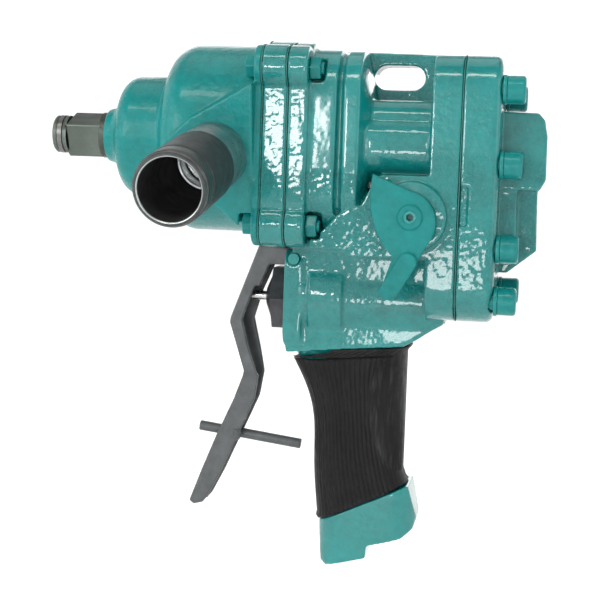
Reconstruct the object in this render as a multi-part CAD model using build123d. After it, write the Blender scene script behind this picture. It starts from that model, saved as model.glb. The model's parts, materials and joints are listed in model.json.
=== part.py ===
from build123d import *
import math
import os

# Hydraulic pistol-grip impact wrench with a 3/4 inch square drive, in millimetres.
# The origin is the centre of the square drive's free end face. +X runs along the drive axis to
# the rear, +Z is up, the pistol grip hangs along -Z and the side handle stands out along -Y.
# Stations along X are drawn from a datum plane that lies TIP_X ahead of the drive's end face,
# and every piece is moved forward by TIP_X as it is written.

# ---------------------------------------------------------------- driving dimensions
TIP_X = 2.2                   # station of the drive's end face
DRIVE = 19.05                 # square drive across its flats, 3/4 inch
DRIVE_TURN = 24.0             # degrees that the square rests turned about the drive axis
RUN_GAP = 0.05                # radial clearance of a shaft in its bore

THROAT_X = 33.0               # front face of the nose
NOSE_R = 33.0                 # nose barrel
CASE_R = 50.7                 # hammer barrel
CAVITY_R = 46.0               # hammer chamber
CASE_END_X = 130.0            # rear face of the hammer case
FRONT_PLATE_X = 130.6         # front face of the motor front plate
HOUSING_X = 143.6             # front face of the motor housing
FLANGE_B_X = 154.2            # rear face of the motor housing's front flange
PART_X = 232.2                # joint between the motor housing and the rear housing
REAR_X = 252.0                # rear face of the rear housing
GASKET = 0.5
GASKET_TEETH = 34

EAR_R = 11.5
FLANGE_TOP = 51.2             # the joint flange seen from the front
FLANGE_BOTTOM = -56.0
FLANGE_BOLTS = ((-45.5, 36.2), (45.5, 36.2), (-42.0, -44.8), (42.0, -44.8))
FLANGE_BOLT_R = 3.2
NUT_AF = 11.1
NUT_H = 5.5

BLOCK_HALF_Y = 46.0           # rear block, seen from behind
BLOCK_TOP = 46.0
BLOCK_BOTTOM = -92.0
BLOCK_ROUND = 19.0
REAR_BOLT_Y = 38.0
REAR_BOLT_Z = (28.0, -10.0, -53.0, -79.6)
REAR_BOLT_R = 4.76
CAP_HEAD_R = 7.15
CAP_HEAD_H = 9.5
WASHER_H = 2.0

GEAR_TEETH = 11
GEAR_CENTRES = 21.6           # distance between the two gears
GEAR_X = (191.0, 231.4)
PRESSURE_ANGLE = math.radians(25)
BACKLASH = 0.35
SHAFT_R = 8.0
IDLER_SHAFT_R = 7.0
BUSH_WALL = 3.0

CAGE_R = 44.8
CAGE_X = (77.6, 122.6)
CAGE_DISC = 5.0
HAMMER_PIN_PCR = 34.5
HAMMER_PIN_R = 4.0
HAMMER_R = 33.4
HAMMER_BORE_R = 19.0
ANVIL_JAW_R = 16.5
SHANK_R = 12.6
JOURNAL_R = 14.2

VALVE_X = (148.8, 222.0)      # valve barrel below the motor
VALVE_R = 26.0
SPOOL_Z = -86.0
SPOOL_R = 8.0
SPOOL_STEM_R = 2.5
SPOOL_TIP_X = 115.3
GLAND_AF = 33.0
CHEEK_X = 139.6               # front face of the casting beside the trigger

PIVOT = (144.8, -63.5)        # trigger pivot, X and Z
PIVOT_R = 3.0
TRIGGER_HALF = 10.0
TRIGGER_SHEET = 2.6
CROSSBAR_R = 2.8
CROSSBAR_ENDS = ((90.0, -161.4), (148.0, -168.2))

REVERSE_X = 209.0             # reversing valve, its axis runs along Y
REVERSE_Z = -38.0
REVERSE_R = 9.0
REVERSE_FACE_Y = -52.0
LEVER_GAP = 0.35
LEVER_PLATE = 4.4

HANDLE_TILT = 11.6            # the side handle's droop, degrees
HANDLE_BASE = (106.1, -54.0, -10.2)
HANDLE_R = 17.6
HANDLE_WALL = 2.6
HANDLE_LENGTH = 86.5

PORT_R = 8.7
PORT_DEPTH = 15.0
PORT_TILT = 15.0
FRONT_PORT = (176.9, -228.6)
REAR_PORT = (200.4, -215.6)
SLEEVE = 3.0                  # thickness of the rubber grip

SLOT_X = (183.0, 209.6)       # hanging slot
SLOT_Z = (28.6, 41.2)
WEB_HALF = 9.0

# Grip sections from top to bottom: height, front X, rear X, width in Y.
GRIP_SECTIONS = (
    (-98.0, 132.0, 222.0, 46.0),
    (-114.0, 140.6, 204.6, 42.0),
    (-128.0, 148.0, 199.4, 39.0),
    (-142.0, 153.6, 198.4, 38.0),
    (-156.0, 155.9, 200.0, 38.0),
    (-172.0, 156.4, 203.9, 38.5),
    (-190.0, 157.6, 210.6, 39.0),
    (-212.0, 160.6, 219.6, 39.5),
)

os.makedirs("parts", exist_ok=True)


# ---------------------------------------------------------------- shared helpers
def save(name, shape):
    """Write one named piece."""
    export_step(Pos(-TIP_X, 0, 0) * shape, f"parts/{name}.step")


def rod(start, end, radius):
    """A round bar between two points."""
    along = Vector(*end) - Vector(*start)
    plane = Plane(origin=start, z_dir=along)
    return plane * Cylinder(radius, along.length, align=(Align.CENTER, Align.CENTER, Align.MIN))


def rod_x(radius, x0, x1, y=0.0, z=0.0):
    """A round bar along X."""
    return rod((x0, y, z), (x1, y, z), radius)


def rod_y(radius, y0, y1, x=0.0, z=0.0):
    """A round bar along Y."""
    return rod((x, y0, z), (x, y1, z), radius)


def ring_x(outer, inner, x0, x1, y=0.0, z=0.0):
    """A plain ring or bush along X."""
    return rod_x(outer, x0, x1, y, z) - rod_x(inner, x0, x1, y, z)


def block(x0, x1, y0, y1, z0, z1):
    """A box between two corners."""
    return Pos(x0, y0, z0) * Box(x1 - x0, y1 - y0, z1 - z0, align=Align.MIN)


def side_plate(outline, y0, y1):
    """Extrude a sketch drawn in X and Z between two depths in Y."""
    plane = Plane(origin=(0, y1, 0), x_dir=(1, 0, 0), z_dir=(0, -1, 0))
    return extrude(plane * outline, y1 - y0, dir=(0, -1, 0))


def station_plane(x):
    """The plane across the drive axis at a station, with local X along Y and local Y along Z."""
    return Plane(origin=(x, 0, 0), x_dir=(0, 1, 0), z_dir=(1, 0, 0))


def cross_plate(outline, x0, x1):
    """Extrude a sketch drawn in Y and Z between two stations in X."""
    return extrude(station_plane(x0) * outline, x1 - x0, dir=(1, 0, 0))


def polygon(*points):
    """A flat polygon that keeps its own coordinates, wound anticlockwise."""
    pairs = zip(points, points[1:] + points[:1])
    area = sum(a[0] * b[1] - b[0] * a[1] for a, b in pairs)
    return Polygon(*(points if area > 0 else points[::-1]), align=None)


def turned(*edges):
    """Revolve a closed profile of (X, radius) edges about the drive axis."""
    return revolve(Plane.XZ * make_face(edges), Axis.X, 360)


def group(pieces):
    """Keep equal pieces as one node of separate solids."""
    return Compound(children=list(pieces))


def hexagon_x(across_flats, x0, x1, y, z, corner_up=0.0):
    """A hexagonal prism along X."""
    sketch = Pos(y, z) * RegularPolygon(across_flats / 2, 6, major_radius=False, rotation=corner_up)
    return cross_plate(sketch, x0, x1)


# ---------------------------------------------------------------- flange outlines
def barrel_sketch(half_width, top, bottom, corner):
    """A rounded rectangle across the drive axis, in Y and Z."""
    return Pos(0, (top + bottom) / 2) * RectangleRounded(2 * half_width, top - bottom, corner)


def flange_sketch(grow=0.0):
    """The joint flange: a rounded square with an ear around each through bolt."""
    sketch = barrel_sketch(51.4 + grow, FLANGE_TOP + grow, FLANGE_BOTTOM - grow, 27.0)
    for y, z in FLANGE_BOLTS:
        sketch += Pos(y, z) * Circle(EAR_R + grow)
    return sketch


def flange_holes(x0, x1):
    """The four through-bolt holes."""
    return [rod_x(FLANGE_BOLT_R + 0.3, x0, x1, y, z) for y, z in FLANGE_BOLTS]


def block_sketch():
    """The rear block seen from behind."""
    height = BLOCK_TOP - BLOCK_BOTTOM
    middle = (BLOCK_TOP + BLOCK_BOTTOM) / 2
    return Pos(0, middle) * RectangleRounded(2 * BLOCK_HALF_Y, height, BLOCK_ROUND)


def rear_bolt_places():
    """Centres of the rear cap screws, in Y and Z."""
    return [(side * REAR_BOLT_Y, z) for side in (-1, 1) for z in REAR_BOLT_Z]


# ---------------------------------------------------------------- impact mechanism
def make_anvil():
    """Square drive, journal, impact jaws and rear pilot, in one forging."""
    tip = 10.3
    end_disc = rod_x(tip, TIP_X, 4.6)
    end_disc = chamfer(end_disc.faces().sort_by(Axis.X)[0].edges(), 0.7)
    square = Pos(9.8, 0, 0) * Rot(0, 90, 0) * Box(
        DRIVE, DRIVE, 21.0, align=(Align.CENTER, Align.CENTER, Align.MIN)
    )
    square = chamfer(square.faces().sort_by(Axis.X)[0].edges(), 1.8)
    square = fillet(square.edges().filter_by(Axis.X), 0.9)
    square = Rot(DRIVE_TURN, 0, 0) * square
    anvil = end_disc + rod_x(7.8, 4.6, 8.0) + rod_x(tip, 8.0, 10.2) + square
    anvil += rod_x(SHANK_R, 30.0, 40.8)
    anvil += rod_x(JOURNAL_R, 40.8, 74.0)
    anvil += rod_x(17.0, 74.0, 77.0)
    anvil += rod_x(12.0, 77.0, 117.6)
    for turn in (90, 270):
        jaw = rod_x(ANVIL_JAW_R, 83.4, 117.0) & block(83.4, 117.0, 0, 40, -9.0, 9.0)
        anvil += Rot(turn, 0, 0) * jaw
    anvil += rod_x(SHAFT_R, 117.6, 120.6)
    return anvil


def make_retainer_ring():
    """Split steel ring that holds the socket."""
    ring = ring_x(10.6, 8.9, 5.0, 7.6)
    return ring - block(4.0, 9.0, -1.2, 1.2, 7.0, 12.0)


def make_hammer_case():
    """Nose, hammer barrel, joint flange and the boss for the side handle."""
    bush_r = JOURNAL_R + BUSH_WALL
    throat_r = SHANK_R + 0.5
    shell = turned(
        Line((THROAT_X, throat_r), (THROAT_X, 14.3)),
        Line((THROAT_X, 14.3), (37.6, 15.6)),
        ThreePointArc((37.6, 15.6), (40.8, 18.2), (43.0, 23.4)),
        ThreePointArc((43.0, 23.4), (45.8, 30.0), (51.8, NOSE_R)),
        Line((51.8, NOSE_R), (69.6, NOSE_R + 0.4)),
        Line((69.6, NOSE_R + 0.4), (71.8, 36.0)),
        ThreePointArc((71.8, 36.0), (76.4, 46.4), (85.6, CASE_R)),
        Line((85.6, CASE_R), (CASE_END_X, CASE_R)),
        Line((CASE_END_X, CASE_R), (CASE_END_X, CAVITY_R)),
        Line((CASE_END_X, CAVITY_R), (84.0, CAVITY_R)),
        Line((84.0, CAVITY_R), (77.0, 39.4)),
        Line((77.0, 39.4), (77.0, 20.0)),
        Line((77.0, 20.0), (73.6, 20.0)),
        Line((73.6, 20.0), (73.6, bush_r)),
        Line((73.6, bush_r), (40.4, bush_r)),
        Line((40.4, bush_r), (40.4, throat_r)),
        Line((40.4, throat_r), (THROAT_X, throat_r)),
    )
    droop = math.radians(HANDLE_TILT)
    face = Plane(
        origin=HANDLE_BASE,
        x_dir=(1, 0, 0),
        z_dir=(0, math.cos(droop), math.sin(droop)),
    )
    # The boss face is drawn in its own plane: local X runs along the drive axis, local Y is down.
    outline = polygon(
        (20.6, -37.8), (20.4, 37.6), (12.0, 37.0), (2.8, 28.4),
        (-24.0, 9.0), (-26.2, 0.0), (-26.0, -7.3), (-12.4, -19.0),
    )
    boss = extrude(face * outline, 40.0, dir=(0, math.cos(droop), math.sin(droop)))
    boss -= rod_x(CAVITY_R, 60.0, CASE_END_X)
    flange = cross_plate(flange_sketch(), 126.0, CASE_END_X) - rod_x(CAVITY_R, 120.0, CASE_END_X)
    flange &= block(126.0, CASE_END_X, -60.0, 60.0, -60.0, 49.4)
    case = shell + boss + flange
    for y, z in FLANGE_BOLTS:
        case -= rod_x(7.4, 119.0, 126.0, y, z)
    case -= flange_holes(118.0, CASE_END_X)
    thread_end = Vector(*HANDLE_BASE) + Vector(0, math.cos(droop), math.sin(droop)) * 7.0
    return case - rod(HANDLE_BASE, tuple(thread_end), 5.1)


def make_hammer_frame():
    """Cage that carries both hammers on their pins."""
    front = ring_x(39.0, 17.4, CAGE_X[0], CAGE_X[0] + CAGE_DISC)
    rear = rod_x(CAGE_R, CAGE_X[1] - CAGE_DISC, CAGE_X[1])
    hub = rod_x(13.0, CAGE_X[1], CAGE_X[1] + 6.0)
    frame = front + rear + hub
    strut = ring_x(39.0, 35.8, CAGE_X[0], CAGE_X[1])
    strut += ring_x(CAGE_R, 35.8, CAGE_X[0] + 6.5, CAGE_X[1])
    frame += strut & block(CAGE_X[0], CAGE_X[1], -13.0, 13.0, 30.0, 50.0)
    frame += strut & block(CAGE_X[0], CAGE_X[1], -13.0, 13.0, -50.0, -30.0)
    for side in (-1, 1):
        frame -= rod_x(HAMMER_PIN_R, CAGE_X[0], CAGE_X[1], side * HAMMER_PIN_PCR)
    frame -= rod_x(SHAFT_R + RUN_GAP, CAGE_X[1] - CAGE_DISC, CAGE_X[1] - 1.5)
    frame -= rod_x(SHAFT_R - 1.0, CAGE_X[1] - 1.5, 124.0)
    frame -= rod_x(SHAFT_R, 124.0, CAGE_X[1] + 6.0)
    return frame


def make_hammer(x0, x1, side):
    """Swinging hammer ring with its pin ear and the lug that strikes the anvil jaw."""
    ring = ring_x(HAMMER_R, HAMMER_BORE_R, x0, x1)
    ear = rod_x(7.6, x0, x1, side * HAMMER_PIN_PCR)
    relief = rod_x(HAMMER_PIN_R + 2.8, x0, x1, -side * HAMMER_PIN_PCR)
    lug = rod_x(HAMMER_BORE_R + 1.0, x0, x1) - rod_x(14.2, x0, x1)
    reach = (0.0, 24.0) if side < 0 else (-24.0, 0.0)
    lug = lug & block(x0, x1, reach[0], reach[1], -5.0, 5.0)
    hammer = ring + ear + lug
    hammer -= rod_x(HAMMER_BORE_R, x0, x1) & block(x0, x1, -20, 20, 6, 20)
    return hammer - relief - rod_x(HAMMER_PIN_R + RUN_GAP, x0, x1, side * HAMMER_PIN_PCR)


def make_hammer_pins():
    """The two pins that the hammers swing on."""
    return group(
        rod_x(HAMMER_PIN_R, CAGE_X[0] + 0.5, CAGE_X[1] - 0.5, side * HAMMER_PIN_PCR)
        for side in (-1, 1)
    )


# ---------------------------------------------------------------- gear motor
def involute_point(base_radius, radius, offset, mirror):
    """A point on an involute flank, as polar angle and radius turned into Y and Z."""
    roll = math.sqrt(max((radius / base_radius) ** 2 - 1, 0.0))
    angle = offset - (roll - math.atan(roll))
    angle = angle if mirror else -angle
    return (radius * math.cos(angle), radius * math.sin(angle))


def gear_sketch():
    """An involute spur gear."""
    pitch = GEAR_CENTRES / 2
    module = 2 * pitch / GEAR_TEETH
    base = pitch * math.cos(PRESSURE_ANGLE)
    tip = pitch + module * 0.95
    root = pitch - module * 1.25
    roll = math.tan(PRESSURE_ANGLE)
    half = math.pi / (2 * GEAR_TEETH) - BACKLASH / (2 * pitch)
    offset = half + (roll - PRESSURE_ANGLE)
    radii = [base + (tip - base) * step / 4 for step in range(5)]
    upper = [involute_point(base, radius, offset, True) for radius in radii]
    lower = [involute_point(base, radius, offset, False) for radius in radii]
    foot_up = ((root - 0.4) * math.cos(offset), (root - 0.4) * math.sin(offset))
    foot_down = (foot_up[0], -foot_up[1])
    tooth = polygon(foot_down, *lower, *reversed(upper), foot_up)
    sketch = Circle(root)
    for index in range(GEAR_TEETH):
        sketch += Rot(0, 0, 360 * index / GEAR_TEETH) * tooth
    return sketch


def make_drive_gear():
    """Driving gear on the axis, with its splined shaft forward and a rear journal."""
    gear = cross_plate(gear_sketch(), *GEAR_X)
    gear += rod_x(SHAFT_R, 124.0, GEAR_X[0])
    gear += rod_x(SHAFT_R - 1.0, 121.4, 124.0)
    return gear + rod_x(SHAFT_R, GEAR_X[1], 248.0)


def make_idler_gear():
    """Idler gear in mesh beside the drive gear."""
    gear = Pos(0, -GEAR_CENTRES, 0) * cross_plate(gear_sketch(), *GEAR_X)
    gear += rod_x(IDLER_SHAFT_R, 173.0, GEAR_X[0], -GEAR_CENTRES)
    return gear + rod_x(IDLER_SHAFT_R, GEAR_X[1], 248.0, -GEAR_CENTRES)


def make_gear_bushes():
    """Four bronze bushes of the two gear shafts."""
    drive = SHAFT_R + RUN_GAP
    idler = IDLER_SHAFT_R + RUN_GAP
    return group(
        [
            ring_x(drive + BUSH_WALL, drive, 168.0, 190.5),
            ring_x(drive + BUSH_WALL, drive, 233.4, 249.0),
            ring_x(idler + BUSH_WALL, idler, 172.0, 190.5, -GEAR_CENTRES),
            ring_x(idler + BUSH_WALL, idler, 233.4, 249.0, -GEAR_CENTRES),
        ]
    )


def make_front_plate():
    """Plate between the hammer case and the motor, with the shaft seal's seat."""
    plate = cross_plate(flange_sketch(0.4), FRONT_PLATE_X, HOUSING_X - GASKET)
    plate -= rod_x(SHAFT_R + 4.0, FRONT_PLATE_X, FRONT_PLATE_X + 8.0)
    plate -= rod_x(SHAFT_R + 0.6, FRONT_PLATE_X, HOUSING_X)
    return plate - flange_holes(FRONT_PLATE_X, HOUSING_X)


def make_shaft_seal():
    """Lip seal between the motor and the hammer case."""
    start = FRONT_PLATE_X + 0.4
    return ring_x(SHAFT_R + 4.0, SHAFT_R + RUN_GAP, start, FRONT_PLATE_X + 8.0)


def make_case_gasket():
    """Joint gasket with a toothed rim along both flanks."""
    gasket = cross_plate(flange_sketch(0.3), CASE_END_X, FRONT_PLATE_X)
    gasket -= rod_x(CAVITY_R, CASE_END_X, FRONT_PLATE_X)
    notches = []
    for side in (-1, 1):
        for step in range(GASKET_TEETH):
            z = -28.0 + 50.0 * step / (GASKET_TEETH - 1)
            notches.append(rod_x(0.45, CASE_END_X, FRONT_PLATE_X, side * 51.7, z))
    return gasket - notches - flange_holes(CASE_END_X, FRONT_PLATE_X)


def make_plate_gasket():
    """Thin gasket between the front plate and the motor housing."""
    gasket = cross_plate(flange_sketch(-0.2), HOUSING_X - GASKET, HOUSING_X)
    gasket -= rod_x(30.0, HOUSING_X - GASKET, HOUSING_X)
    return gasket - flange_holes(HOUSING_X - GASKET, HOUSING_X)


# ---------------------------------------------------------------- grip
def grip_loft(inset, sections=GRIP_SECTIONS):
    """The grip's smooth outer form, or the core under a sleeve of the inset thickness."""
    faces = []
    for z, front, rear, width in sections:
        long_side = rear - front - 2 * inset
        short_side = width - 2 * inset
        corner = short_side * 0.42
        sketch = RectangleRounded(long_side, short_side, corner)
        faces.append(Pos((front + rear) / 2, 0, z) * sketch)
    return loft(faces)


def sleeve_region():
    """Side outline of the stretch of grip that the rubber sleeve covers."""
    outline = polygon(
        (120.0, -114.6), (230.0, -107.2), (240.0, -168.3),
        (211.5, -183.2), (161.0, -207.2), (120.0, -207.2),
    )
    return side_plate(outline, -40, 40)


def make_grip_sleeve():
    """Rubber sleeve over the pistol grip."""
    return (grip_loft(0) & sleeve_region()) - grip_loft(SLEEVE)


def make_grip_base():
    """Foot of the pistol grip with its two port bosses."""
    outline = polygon(
        (161.0, -207.6), (163.2, -229.6), (166.6, -231.4), (188.6, -225.5), (189.2, -218.6),
        (207.4, -213.7), (213.4, -208.8), (215.2, -203.0), (210.2, -184.2),
    )
    plan = Pos(188.0, 0) * RectangleRounded(55.4, 38.0, 15.0)
    round_plan = extrude(Pos(0, 0, -240) * plan, 70)
    return side_plate(outline, -19, 19) & round_plan


def port_axis():
    """Outward direction of both hose ports."""
    tilt = math.radians(PORT_TILT)
    return Vector(math.sin(tilt), 0, -math.cos(tilt))


def port_holes():
    """Threaded mouths of the two ports and the passages up the grip."""
    holes = []
    for (x, z), top in ((FRONT_PORT, (167.5, 0, -92.0)), (REAR_PORT, (180.5, 0, -92.0))):
        mouth = Vector(x, 0, z)
        bottom = mouth - port_axis() * PORT_DEPTH
        holes.append(rod(tuple(mouth + port_axis() * 8), tuple(bottom), PORT_R))
        holes.append(rod(tuple(bottom + port_axis()), top, 4.5))
    return holes


# ---------------------------------------------------------------- motor housing
def make_web():
    """Upright web with the hanging slot."""
    outline = polygon((160, 10), (160, 48.6), (168, 48.4), (217, 47.4), (217, 10))
    web = side_plate(outline, -WEB_HALF, WEB_HALF)
    slot_mid = ((SLOT_X[0] + SLOT_X[1]) / 2, (SLOT_Z[0] + SLOT_Z[1]) / 2)
    slot = Pos(*slot_mid) * SlotOverall(SLOT_X[1] - SLOT_X[0], SLOT_Z[1] - SLOT_Z[0])
    return web, side_plate(slot, -WEB_HALF - 30, WEB_HALF + 30)


def make_motor_body():
    """Outside of the casting around the gears, the reversing valve and the throttle valve."""
    body = cross_plate(flange_sketch(), HOUSING_X, FLANGE_B_X)
    body += cross_plate(barrel_sketch(49.0, 47.8, -50.0, 25.0), FLANGE_B_X, 168.4)
    body += cross_plate(barrel_sketch(45.0, 46.0, -48.0, 23.0), 168.4, 171.6)
    body += cross_plate(barrel_sketch(48.4, 47.4, -49.0, 25.0), 171.6, 180.0)
    wide_end = station_plane(180.0) * barrel_sketch(48.4, 47.4, -49.0, 25.0)
    narrow_end = station_plane(185.0) * barrel_sketch(39.0, 23.0, -22.0, 14.0)
    body += loft([wide_end, narrow_end])
    body += cross_plate(barrel_sketch(38.0, 22.0, -20.0, 12.0), 184.0, 218.0)
    body += cross_plate(barrel_sketch(43.6, 12.9, -17.0, 13.0), 184.0, 218.0)
    pad = polygon(
        (156.0, -56.4), (156.0, -52.0), (162.0, -47.6), (171.0, -37.6), (182.4, -32.8), (190.0, -18.0),
        (192.0, -17.0), (218.0, -17.0), (218.0, -59.0), (200.0, -59.6), (177.2, -60.2), (172.4, -56.6),
    )
    body += side_plate(pad, -46.0, 46.0)
    body += cross_plate(block_sketch(), 217.0, PART_X)
    body += rod_y(18.0, REVERSE_FACE_Y, 0, REVERSE_X, REVERSE_Z)
    body += rod_y(14.0, 0, 47.0, REVERSE_X, REVERSE_Z)
    return body


def make_valve_body():
    """Throttle valve barrel, the front cheeks around the trigger and the neck of the grip."""
    valve = rod_x(VALVE_R, VALVE_X[0], VALVE_X[1] + 4.0, 0, -84.0)
    valve += rod_x(VALVE_R + 1.8, 153.4, 171.6, 0, -84.0)
    front = Pos(0, -84.5) * RectangleRounded(50.0, 53.0, 9.0)
    valve += cross_plate(front, CHEEK_X, VALVE_X[0] + 1.0)
    valve += block(CHEEK_X + 4.0, 218.0, -24.0, 24.0, -80.0, -40.0)
    under = polygon(
        (200.0, -112.6), (204.6, -108.6), (211.6, -104.4), (218.6, -99.6),
        (227.0, -94.4), (240.0, -94.0), (240.0, -130.0), (200.0, -130.0),
    )
    valve -= side_plate(under, -40.0, 40.0)
    neck = polygon(
        (143.0, -96.0), (140.6, -110.0), (141.4, -114.4), (205.0, -108.2),
        (211.6, -104.4), (218.6, -99.6), (227.0, -94.4), (222.0, -84.0),
    )
    neck_plan = Pos(180.0, 0) * RectangleRounded(100.0, 44.0, 10.0)
    valve += side_plate(neck, -22, 22) & extrude(Pos(0, 0, -130) * neck_plan, 60)
    return valve


def gear_pockets(x0, x1):
    """Room for both gears."""
    gear_tip = GEAR_CENTRES / 2 + 2 * GEAR_CENTRES / 2 / GEAR_TEETH * 0.95
    room = rod_x(gear_tip + 0.12, x0, x1)
    return room + rod_x(gear_tip + 0.12, x0, x1, -GEAR_CENTRES)


def make_motor_housing():
    """The main casting: motor housing, valve body, grip core and foot."""
    web, slot = make_web()
    core_region = polygon((100, -106), (260, -106), (260, -187), (100, -215))
    core = grip_loft(SLEEVE) & side_plate(core_region, -40, 40)
    outside = make_valve_body() + make_grip_base()
    outside -= grip_loft(0) & sleeve_region()
    housing = make_motor_body() + outside + web + core
    housing -= slot
    housing -= gear_pockets(190.6, PART_X)
    housing -= rod_x(SHAFT_R + RUN_GAP + BUSH_WALL, 167.0, 191.0)
    housing -= rod_x(SHAFT_R + 1.0, HOUSING_X, 168.0)
    housing -= rod_x(IDLER_SHAFT_R + RUN_GAP + BUSH_WALL, 171.0, 191.0, -GEAR_CENTRES)
    housing -= rod_y(REVERSE_R, REVERSE_FACE_Y, 30.0, REVERSE_X, REVERSE_Z)
    housing -= rod_y(2.4, REVERSE_FACE_Y, REVERSE_FACE_Y + 12.0, REVERSE_X, REVERSE_Z - 13.4)
    housing -= rod_x(SPOOL_R + RUN_GAP, CHEEK_X, 206.0, 0, SPOOL_Z)
    housing -= rod_x(12.0, CHEEK_X, CHEEK_X + 11.0, 0, SPOOL_Z)
    trigger_room = block(CHEEK_X - 2.0, 153.0, -TRIGGER_HALF - 0.4, TRIGGER_HALF + 0.4, -69.4, -56.0)
    housing -= trigger_room
    housing -= rod_y(PIVOT_R, -26.0, 26.0, PIVOT[0], PIVOT[1])
    housing -= flange_holes(HOUSING_X, FLANGE_B_X)
    for y, z in FLANGE_BOLTS:
        housing -= rod_x(7.4, FLANGE_B_X, FLANGE_B_X + 7.4, y, z)
    for y, z in rear_bolt_places():
        housing -= rod_x(REAR_BOLT_R + 0.1, 218.6, PART_X, y, z)
    return housing - port_holes()


def make_rear_gasket():
    """Gasket of the rear joint."""
    gasket = cross_plate(block_sketch(), PART_X, PART_X + GASKET)
    gasket -= gear_pockets(PART_X, PART_X + GASKET)
    for y, z in rear_bolt_places():
        gasket -= rod_x(REAR_BOLT_R + 0.3, PART_X, PART_X + GASKET, y, z)
    return gasket


def make_rear_housing():
    """Rear housing with its domed cover over the cross passages."""
    start = PART_X + GASKET
    housing = cross_plate(block_sketch(), start, REAR_X)
    edge = housing.faces().sort_by(Axis.X)[-1].edges()
    housing = fillet(edge, 4.2)
    dome = polygon(
        (240.0, 18.2), (270.4, 17.2), (273.8, 13.4), (275.4, 5.0),
        (275.6, -17.0), (272.6, -22.6), (240.0, -22.6),
    )
    low = polygon((240.0, -20.0), (271.6, -21.6), (272.4, -54.2), (257.5, -66.4), (240.0, -66.4))
    shoulder = polygon((240.0, -20.0), (261.0, -20.0), (261.8, -52.0), (250.0, -62.0), (240.0, -62.0))
    housing += side_plate(dome, -29.0, 29.0)
    housing += side_plate(low, -17.0, 17.0)
    housing += side_plate(shoulder, -28.0, 28.0)
    for y in (0.0, -GEAR_CENTRES):
        radius = (SHAFT_R if y == 0 else IDLER_SHAFT_R) + RUN_GAP + BUSH_WALL
        housing -= rod_x(radius, start, 250.0, y)
    for y, z in rear_bolt_places():
        housing -= rod_x(REAR_BOLT_R + 0.3, start, REAR_X, y, z)
    return housing - block(start, start + 4.4, -48.0, -44.6, -42.0, -21.4)


# ---------------------------------------------------------------- fasteners
def make_rear_bolts():
    """Socket-head cap screws of the rear housing."""
    seat = REAR_X + WASHER_H
    bolts = []
    for y, z in rear_bolt_places():
        head = rod_x(CAP_HEAD_R, seat, seat + CAP_HEAD_H, y, z)
        head = chamfer(head.faces().sort_by(Axis.X)[-1].edges(), 1.0)
        bolt = head + rod_x(REAR_BOLT_R, 219.0, seat, y, z)
        bolts.append(bolt - hexagon_x(7.94, seat + CAP_HEAD_H - 5.0, seat + CAP_HEAD_H, y, z))
    return group(bolts)


def make_lock_washers():
    """Split lock washers under the rear cap screws."""
    washers = []
    for y, z in rear_bolt_places():
        washer = ring_x(CAP_HEAD_R + 0.5, REAR_BOLT_R + 0.2, REAR_X, REAR_X + WASHER_H, y, z)
        gap = block(REAR_X, REAR_X + WASHER_H, y - 0.5, y + 0.5, z + 3.0, z + 9.0)
        washers.append(washer - gap)
    return group(washers)


def make_flange_bolts():
    """Hexagon bolts through the hammer case, front plate and motor housing."""
    bolts = []
    for y, z in FLANGE_BOLTS:
        head = hexagon_x(NUT_AF, 120.6, 126.0, y, z)
        bolts.append(head + rod_x(FLANGE_BOLT_R, 126.0, FLANGE_B_X + NUT_H + 1.4, y, z))
    return group(bolts)


def make_flange_nuts():
    """Nuts on the flange bolts."""
    nuts = []
    for y, z in FLANGE_BOLTS:
        nut = hexagon_x(NUT_AF, FLANGE_B_X, FLANGE_B_X + NUT_H, y, z)
        nuts.append(nut - rod_x(FLANGE_BOLT_R, FLANGE_B_X, FLANGE_B_X + NUT_H, y, z))
    return group(nuts)


# ---------------------------------------------------------------- trigger and throttle
TRIGGER_OUTER = (
    (122.6, -57.6), (107.8, -98.0), (107.4, -101.0), (116.0, -127.4), (115.4, -130.6),
    (110.3, -144.3), (101.4, -164.0), (93.0, -185.3), (86.4, -203.4), (89.0, -205.4),
)
TRIGGER_INNER = (
    (94.0, -204.0), (96.8, -200.5), (103.6, -187.0), (111.4, -168.9), (116.2, -158.0),
    (122.4, -143.0), (124.4, -129.5), (121.6, -115.7), (117.6, -99.2), (122.2, -83.3), (128.8, -67.9),
)

# The flange on the side-handle side is cut back a little behind the finger hollow.
TRIGGER_NEAR_RELIEF = (
    (121.0, -80.0), (118.6, -86.0), (114.2, -99.2), (118.6, -115.7),
    (123.6, -129.5), (130.0, -129.5), (130.0, -80.0),
)


def trigger_sketch():
    """Side outline of the long lever."""
    arm_end = ((150.0, -67.9), (150.0, -58.4), (138.0, -58.4), (136.0, -57.6))
    return polygon(*TRIGGER_OUTER, *TRIGGER_INNER, *arm_end)


def trigger_width(inset):
    """Front outline of the lever, which narrows towards its free end."""
    wide = TRIGGER_HALF - inset
    slim = TRIGGER_HALF - 3.0 - inset
    front = polygon(
        (-wide, -50.0), (-wide, -125.0), (-slim, -158.0), (-slim, -210.0),
        (slim, -210.0), (slim, -158.0), (wide, -125.0), (wide, -50.0),
    )
    return cross_plate(front, 60.0, 170.0)


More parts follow.
